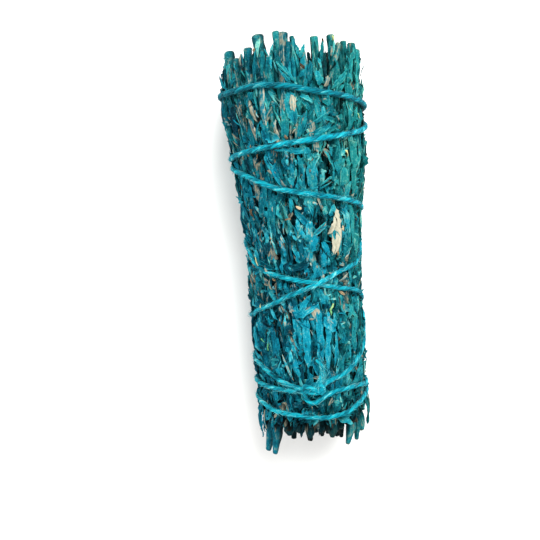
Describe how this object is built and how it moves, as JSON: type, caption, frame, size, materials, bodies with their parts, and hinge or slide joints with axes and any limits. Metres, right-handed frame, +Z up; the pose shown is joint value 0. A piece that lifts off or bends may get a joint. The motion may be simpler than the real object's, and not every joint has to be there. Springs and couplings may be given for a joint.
{
  "type": "sage bunch",
  "caption": "Bundle of dried, dyed sage sprigs lying on its side, bound with one cotton string wound up and back down and knotted near its foot.",
  "frame": {"origin": "bottom centre of the bunch's box as it lies on its side", "axes": "+Y along the bunch from its foot to its fanned top, +Z up, +X to the right seen from above with the top away"},
  "size_m": [0.0426, 0.122, 0.0395],
  "materials": {
    "dyed_sage": "matte dried leaf and stem, dyed teal",
    "dyed_sage_inside": "matte dried leaf and stem, darker teal",
    "dyed_cotton": "soft twisted cotton string, dyed turquoise"
  },
  "bodies": {
    "root": {"outer_sprig_01": "dyed_sage", "outer_sprig_02": "dyed_sage", "outer_sprig_03": "dyed_sage", "outer_sprig_04": "dyed_sage", "outer_sprig_05": "dyed_sage", "outer_sprig_06": "dyed_sage", "outer_sprig_07": "dyed_sage", "outer_sprig_08": "dyed_sage", "outer_sprig_09": "dyed_sage", "outer_sprig_10": "dyed_sage", "outer_sprig_11": "dyed_sage", "outer_sprig_12": "dyed_sage", "outer_sprig_13": "dyed_sage", "outer_sprig_14": "dyed_sage", "outer_sprig_15": "dyed_sage", "outer_sprig_16": "dyed_sage", "outer_sprig_17": "dyed_sage", "outer_sprig_18": "dyed_sage", "outer_sprig_19": "dyed_sage", "outer_sprig_20": "dyed_sage", "outer_sprig_21": "dyed_sage", "outer_sprig_22": "dyed_sage", "outer_sprig_23": "dyed_sage", "outer_sprig_24": "dyed_sage", "middle_sprig_01": "dyed_sage_inside", "middle_sprig_02": "dyed_sage_inside", "middle_sprig_03": "dyed_sage_inside", "middle_sprig_04": "dyed_sage_inside", "middle_sprig_05": "dyed_sage_inside", "middle_sprig_06": "dyed_sage_inside", "middle_sprig_07": "dyed_sage_inside", "middle_sprig_08": "dyed_sage_inside", "middle_sprig_09": "dyed_sage_inside", "middle_sprig_10": "dyed_sage_inside", "middle_sprig_11": "dyed_sage_inside", "middle_sprig_12": "dyed_sage_inside", "inner_sprig_01": "dyed_sage_inside", "inner_sprig_02": "dyed_sage_inside", "inner_sprig_03": "dyed_sage_inside", "inner_sprig_04": "dyed_sage_inside", "inner_sprig_05": "dyed_sage_inside", "inner_sprig_06": "dyed_sage_inside", "centre_sprig": "dyed_sage_inside", "cotton_string": "dyed_cotton"}
  },
  "joints": []
}
